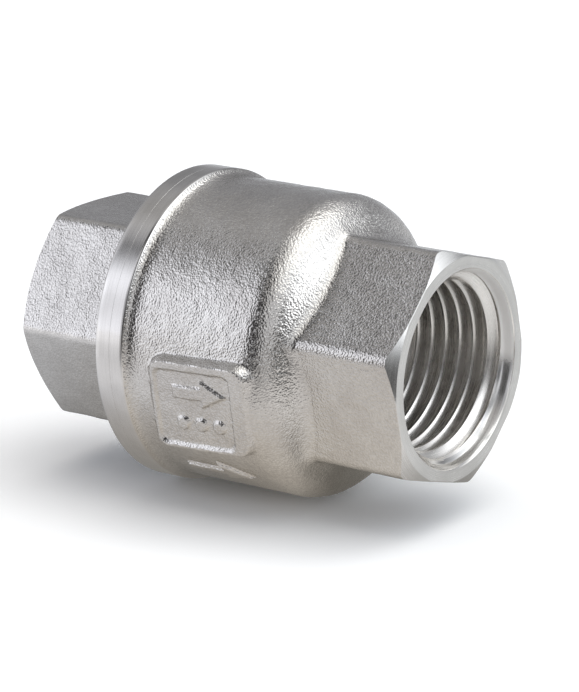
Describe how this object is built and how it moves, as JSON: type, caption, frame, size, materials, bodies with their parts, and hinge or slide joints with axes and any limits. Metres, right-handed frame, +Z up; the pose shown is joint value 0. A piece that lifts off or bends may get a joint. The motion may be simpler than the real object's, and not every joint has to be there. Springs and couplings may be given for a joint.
{
  "type": "check valve",
  "caption": "In-line spring check valve in cast stainless steel with a hexagonal female-threaded end on each side and a sliding disc inside.",
  "frame": {"origin": "on the valve's axis, halfway along its overall length", "axes": "+X along the flow, from inlet to outlet; +Z up, square to the inlet hexagon's top flat; +Y completes the right-handed frame"},
  "size_m": [0.0502, 0.0354, 0.035],
  "materials": {
    "cast_body": "bead-blasted investment casting with turned faces",
    "cast_cap": "bead-blasted investment casting with a turned flange",
    "turned_steel": "fine turned",
    "stamped_steel": "satin",
    "spring_steel": "drawn wire, bright",
    "ptfe_white": "matte, waxy",
    "ptfe_grey": "matte, filled PTFE"
  },
  "bodies": {
    "housing": {"body": "cast_body", "end_cap": "cast_cap", "body_gasket": "ptfe_white", "guide_spider": "stamped_steel", "guide_bush": "ptfe_grey", "guide_circlip": "spring_steel", "closing_spring": "spring_steel"},
    "closing_element": {"valve_disc": "turned_steel", "seat_ring": "ptfe_white", "seat_ring_washer": "stamped_steel", "seat_ring_nut": "turned_steel", "guide_stem": "turned_steel"}
  },
  "joints": [
    {"name": "disc_lift", "type": "slide", "parent": "housing", "child": "closing_element", "axis": [1, 0, 0], "range_m": [0, 0.0045], "stiffness_N_per_m": 560, "springref_m": -0.0018, "deforming": ["closing_spring"]}
  ]
}
